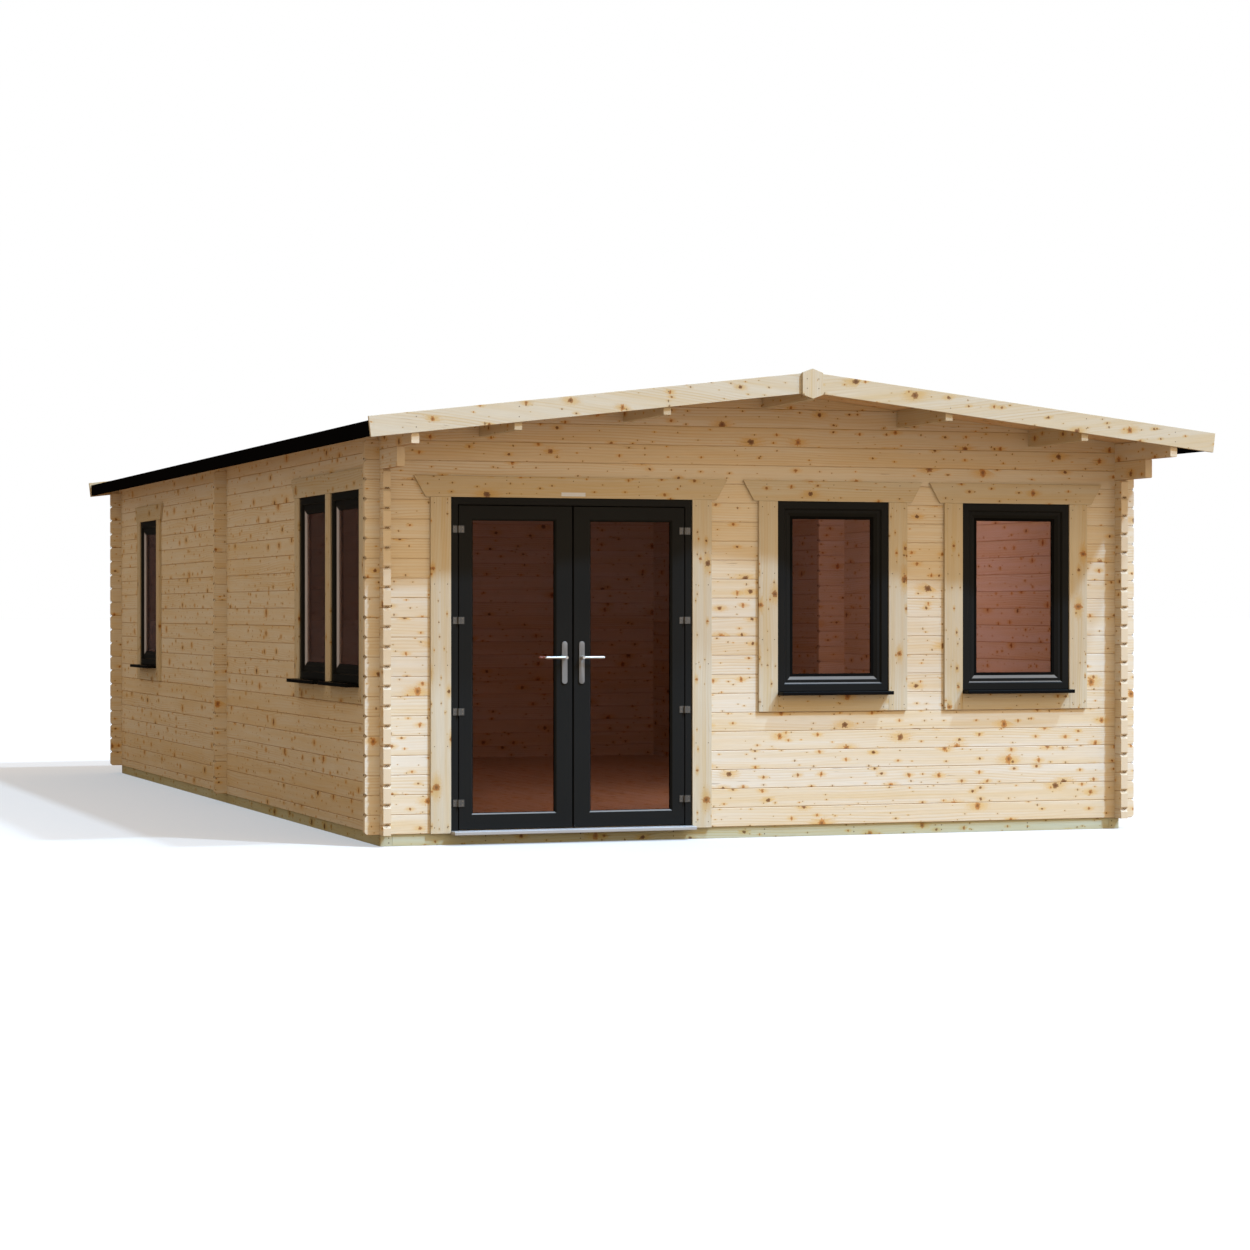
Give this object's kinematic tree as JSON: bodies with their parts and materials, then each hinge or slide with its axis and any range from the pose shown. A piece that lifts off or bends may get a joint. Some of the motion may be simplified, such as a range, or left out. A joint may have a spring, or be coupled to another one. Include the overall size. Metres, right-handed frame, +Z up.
{
  "type": "log cabin",
  "caption": "Hollow log cabin with a low gable roof, glazed double doors that swing outward on sprung lever handles, framed windows, and a plank floor on a beam base.",
  "frame": {"origin": "on the ground at the centre of the whole outline, eaves and verges included", "axes": "+X across the front to the right as seen from in front, +Y from the door side to the back, +Z up"},
  "size_m": [5.274, 9.637, 2.7622],
  "materials": {
    "base_beams": "rough sawn, green preservative",
    "floor_boards": "planed pine",
    "logs": "planed pale pine with knots",
    "roof_timber": "planed pale pine",
    "trim_boards": "planed pale pine",
    "felt": "black roofing felt",
    "black_boards": "black edge trim",
    "anthracite_frame": "satin anthracite",
    "glass": "bronze tinted",
    "threshold_metal": "satin",
    "hinge_metal": "satin",
    "handle_metal": "satin"
  },
  "bodies": {
    "cabin": {"base_frame": "base_beams", "floor": "floor_boards", "front_wall_left": "logs", "front_wall_right": "logs", "front_wall_over_door": "logs", "front_gable": "logs", "back_wall": "logs", "back_gable": "logs", "left_wall_front": "logs", "left_wall_back": "logs", "right_wall_front": "logs", "right_wall_back": "logs", "left_cross_log_ends": "logs", "right_cross_log_ends": "logs", "front_log_ends": "logs", "back_log_ends": "logs", "left_eaves_logs": "logs", "right_eaves_logs": "logs", "ridge_purlin": "roof_timber", "left_purlins": "roof_timber", "right_purlins": "roof_timber", "left_roof_boards": "roof_timber", "right_roof_boards": "roof_timber", "left_felt": "felt", "right_felt": "felt", "eaves_boards": "black_boards", "front_bargeboards": "trim_boards", "back_bargeboards": "trim_boards", "ridge_plaques": "trim_boards", "door_frame": "anthracite_frame", "threshold": "threshold_metal", "door_trim": "trim_boards", "frame_hinges": "hinge_metal", "window_frames": "anthracite_frame", "window_sashes": "anthracite_frame", "window_glass": "glass", "window_sills": "anthracite_frame", "front_window_trim": "trim_boards", "side_window_trim": "trim_boards"},
    "left_door": {"left_door_leaf": "anthracite_frame", "left_door_glass": "glass", "left_door_hinges": "hinge_metal", "left_handle_plates": "handle_metal"},
    "left_handle": {"left_lever": "handle_metal"},
    "right_door": {"right_door_leaf": "anthracite_frame", "right_door_glass": "glass", "right_door_hinges": "hinge_metal", "right_handle_plates": "handle_metal"},
    "right_handle": {"right_lever": "handle_metal"}
  },
  "joints": [
    {"name": "left_door_swing", "type": "hinge", "parent": "cabin", "child": "left_door", "pos_m": [-1.918, -4.0845, 0.082], "axis": [0, 0, -1], "range_deg": [0, 110]},
    {"name": "left_handle_turn", "type": "hinge", "parent": "left_door", "child": "left_handle", "pos_m": [-1.272, -4.0755, 1.087], "axis": [0, -1, 0], "range_deg": [0, 38], "stiffness_Nm_per_rad": 1.5, "springref_deg": -28.65},
    {"name": "right_door_swing", "type": "hinge", "parent": "cabin", "child": "right_door", "pos_m": [-0.52, -4.0845, 0.082], "axis": [0, 0, 1], "range_deg": [0, 110]},
    {"name": "right_handle_turn", "type": "hinge", "parent": "right_door", "child": "right_handle", "pos_m": [-1.166, -4.0755, 1.087], "axis": [0, 1, 0], "range_deg": [0, 38], "stiffness_Nm_per_rad": 1.5, "springref_deg": -28.65}
  ]
}
